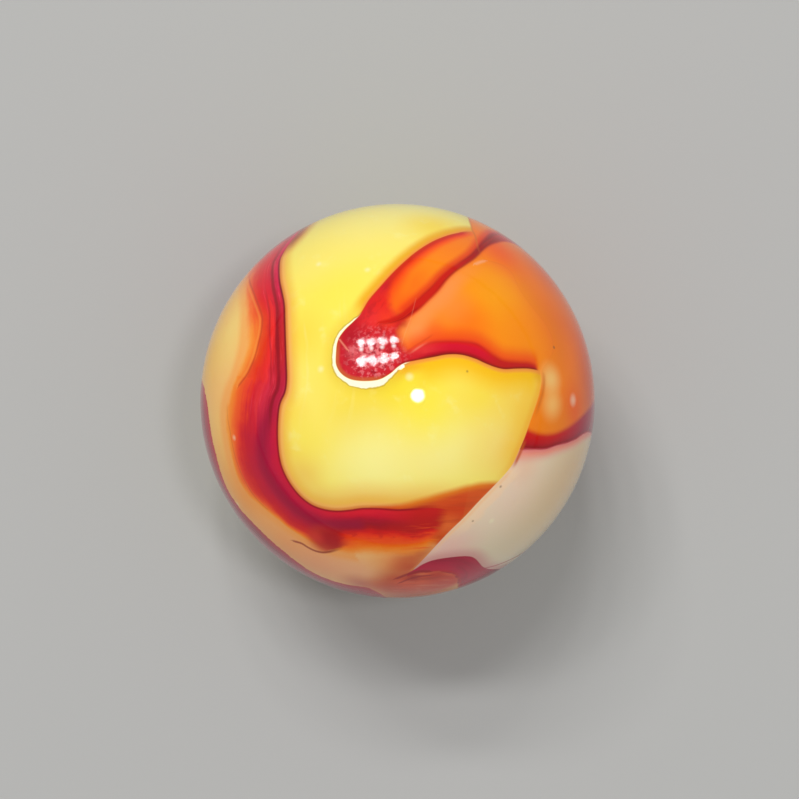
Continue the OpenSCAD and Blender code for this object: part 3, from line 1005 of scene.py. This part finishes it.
def lay_lip_and_glint(below):
    """The pale lip round the head, partly a painted glint of the lamps in the crease there, and the
    dark line along the lower side.
    """
    outside = shifted(calculate("ADD", "tongue", "lip_and_glint_width"), cloud(0.35, 2.0), 0.14)
    shown = both(("lip_and_glint_width", 0.01, 0.06), ("tongue_gap", 0.5, 0.4))
    return over(
        below,
        ("#B8962C", (outside, -0.07, -0.02, 0.0, 0.03), shown, 0.6),
        # Pale rim outside the head: partly the glass's own pale edge, partly a painted highlight
        # where the crease catches the lamps.
        ("#FFFCDC", (outside, -0.02, 0.03), ("tongue", 0.01, -0.03), shown),
        ("#8A1004", thread("tongue", 0.03, 0.045, 0.03), ("tongue_along", 11.8, 13.0),
         ("tongue_left", 0.02, 0.3), 0.85))


def lay_seam(below):
    """The seam: brown-orange above, golden beside the yellow and peach beside the cream."""
    return over(
        below,
        ("#D46C10", thread("seam", 0.04, 0.05), ("seam_along", 4.5, 3.0), 0.7),
        ("#D86800", thread("seam", 0.03, 0.06), ("seam_along", 4.0, 5.0, 9.5, 10.5), 0.25),
        ("#C86408", thread("seam", 0.07, 0.1, 0.16), ("seam_along", 10.6, 11.2, 12.0, 12.8), 0.6),
        ("#C85410", thread("seam", 0.07, 0.07, 0.1), ("seam_along", 13.5, 13.9, 14.4, 14.9), 0.85),
        ("#FFB848", thread("seam", 0.025, 0.03, -0.01),
         ("seam_along", 10.6, 11.2, 14.4, 15.0), 0.8),
        ("#FFCC98", thread("seam", 0.07, 0.08, 0.11), ("seam_along", 14.6, 15.2, 18.4, 19.8), 0.8))


def lay_marks(below):
    """The dark wisp under the hook, and the small specks."""
    rough = shifted("wisp", cloud(0.4, 6.0, 3.0), 0.16)
    blood = over("#CC3014", ("#B4000C", near(-20.6, -43.6, 0.58, 0.34)))
    shade = over(
        below,
        (blood, (rough, -0.02, 0.12), near(-22.4, -44.6, 0.74, 0.36), ("body", 1.1, 0.7), 0.95),
        ("#F03428", near(-25.5, -43.4, 0.1, 0.4), 0.35),
        ("#981400", thread("wisp", 0.06, 0.06), ("wisp_along", 2.6, 1.6),
         near(-26, -47, 1.3, 0.3), 0.9))
    for right, up, size in ((19.5, 8.3, 0.04), (51, 17.5, 0.06), (23, -36.6, 0.04),
                            (31, -25.7, 0.05)):
        shade = tints(shade, (right, up, size, 0.04, "#7A5030", 0.6))
    for right, up, size in ((29.5, -37.5, 0.09), (-53.5, -12, 0.07), (-59.5, -38.5, 0.08),
                            (-25, 43.5, 0.09), (-9, 39.5, 0.09), (-21.5, 9, 0.1),
                            (3.3, 6.6, 0.13)):
        shade = tints(shade, (right, up, size, 0.1, "#FFFAD0", 0.4))
    return shade


def lay_scratches(below):
    """The light scratches by the head and a pale streak above the orange."""
    return over(
        below,
        ("#FFA888", thread("head_scratch", 0.02, 0.05), 0.7),
        ("#FFC090", thread("fold_scratch", 0.005, 0.03), 0.22),
        ("#FFC4A0", thread("orange_streak", 0.05, 0.08), 0.45))


def swirl_colour():
    """All streams and fields, from the base glass up to the small marks."""
    shade = yellow_glass()
    for lay in (lay_golden, lay_peach, lay_tail, lay_orange, lay_hook, lay_cream, lay_band, lay_rim,
                lay_upper_side, lay_lower_side, lay_head, lay_middle_line, lay_lip_and_glint,
                lay_seam, lay_marks, lay_scratches):
        shade = lay(shade)
    return shade


def swirl_glass():
    """Glossy, nearly opaque glass with the streams through it."""
    shader = SHADER.nodes["Principled BSDF"]
    for name, value in {
            "Roughness": 0.05, "IOR": 1.5, "Specular IOR Level": 0.35,
            "Subsurface Weight": 0.12, "Subsurface Radius": (1.0, 0.7, 0.4),
            "Subsurface Scale": 0.3 * MM}.items():
        shader.inputs[name].default_value = value
    SHADER.links.new(swirl_colour(), shader.inputs["Base Color"])
    scuffs = both(cloud(0.12, 8.0, 1.0), near(-5, 13, 1.1, 0.7))
    bump = add_node(SHADER, "ShaderNodeBump", {"Height": scuffs, "Distance": SCUFF_DEPTH})
    SHADER.links.new(bump.outputs[0], shader.inputs["Normal"])
    return GLASS


# ---- Stage -----------------------------------------------------------------------------------

CAMERA_HEIGHT = 0.120
CAMERA_SENSOR = 36
CAMERA_LENS = 133.1
CAMERA_ASIDE = (0.08 * MM, 0.06 * MM)
NEAREST_SEEN = 0.01
FLOOR_SIDE = 3
FLOOR_COLOUR = "#B3B3B1"
FLOOR_ROUGHNESS = 0.9
SOFT_LIGHT = 0.43

# Each lamp's spread in degrees, its power, and the place on the ball where its glint is.
LAMP_DISTANCE = 0.5
PANEL_ROWS = {
    "panel_far": (4.6, 0.135, ((-10.1, 16.2), (-7.3, 16.4), (-4.2, 16.7), (-1.0, 17.0))),
    "panel_near": (5.9, 0.21, ((-9.9, 11.0), (-6.9, 11.3), (-3.7, 11.6), (-0.5, 12.0)))}
LAMP_BY_CAMERA = (7.6, 0.41, (5.5, 1.5))


def pale_floor():
    """A plain pale floor that the ball touches."""
    bpy.ops.mesh.primitive_plane_add(size=FLOOR_SIDE, location=(0, 0, BALL_LOW.z))
    floor = bpy.context.object
    floor.name = "floor"
    paper = bpy.data.materials.new("Pale floor")
    paper.use_nodes = True
    shader = paper.node_tree.nodes["Principled BSDF"]
    shader.inputs["Base Color"].default_value = colour(FLOOR_COLOUR)
    shader.inputs["Roughness"].default_value = FLOOR_ROUGHNESS
    floor.data.materials.append(paper)


def camera_above():
    """A camera above the ball, looking straight down."""
    data = bpy.data.cameras.new("camera")
    data.sensor_width = CAMERA_SENSOR
    data.lens = CAMERA_LENS
    data.clip_start = NEAREST_SEEN
    camera = bpy.data.objects.new("camera", data)
    camera.location = (*CAMERA_ASIDE, CAMERA_HEIGHT)
    bpy.context.scene.collection.objects.link(camera)
    bpy.context.scene.camera = camera
    return camera


def add_lamp(camera, name, spread, power, place):
    """A round lamp whose glint, from the camera, is on the skin at a given place."""
    normal = Vector(top(*place))
    skin = normal * BALL_RADIUS
    view = (camera.location - skin).normalized()
    towards = 2 * normal.dot(view) * normal - view
    data = bpy.data.lights.new(name, "AREA")
    data.shape = "DISK"
    data.size = 2 * LAMP_DISTANCE * math.tan(math.radians(spread / 2))
    data.energy = power
    lamp = bpy.data.objects.new(name, data)
    lamp.location = skin + towards * LAMP_DISTANCE
    lamp.rotation_mode = "QUATERNION"
    lamp.rotation_quaternion = towards.to_track_quat("Z", "Y")
    bpy.context.scene.collection.objects.link(lamp)


def studio_light(camera):
    """A panel of eight small round lamps, one lamp near the camera, and soft light all round."""
    for row, (spread, power, places) in PANEL_ROWS.items():
        for number, place in enumerate(places):
            add_lamp(camera, f"{row}_{number}", spread, power, place)
    add_lamp(camera, "lamp_by_camera", *LAMP_BY_CAMERA)
    world = bpy.data.worlds.new("Soft light")
    world.use_nodes = True
    world.node_tree.nodes["Background"].inputs["Color"].default_value = (1, 1, 1, 1)
    world.node_tree.nodes["Background"].inputs["Strength"].default_value = SOFT_LIGHT
    bpy.context.scene.world = world
    bpy.context.scene.view_settings.view_transform = "Standard"


# ---- The scene -------------------------------------------------------------------------------

ball = make_ball()
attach(ball, "root")
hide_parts("marble")
pale_floor()
studio_light(camera_above())
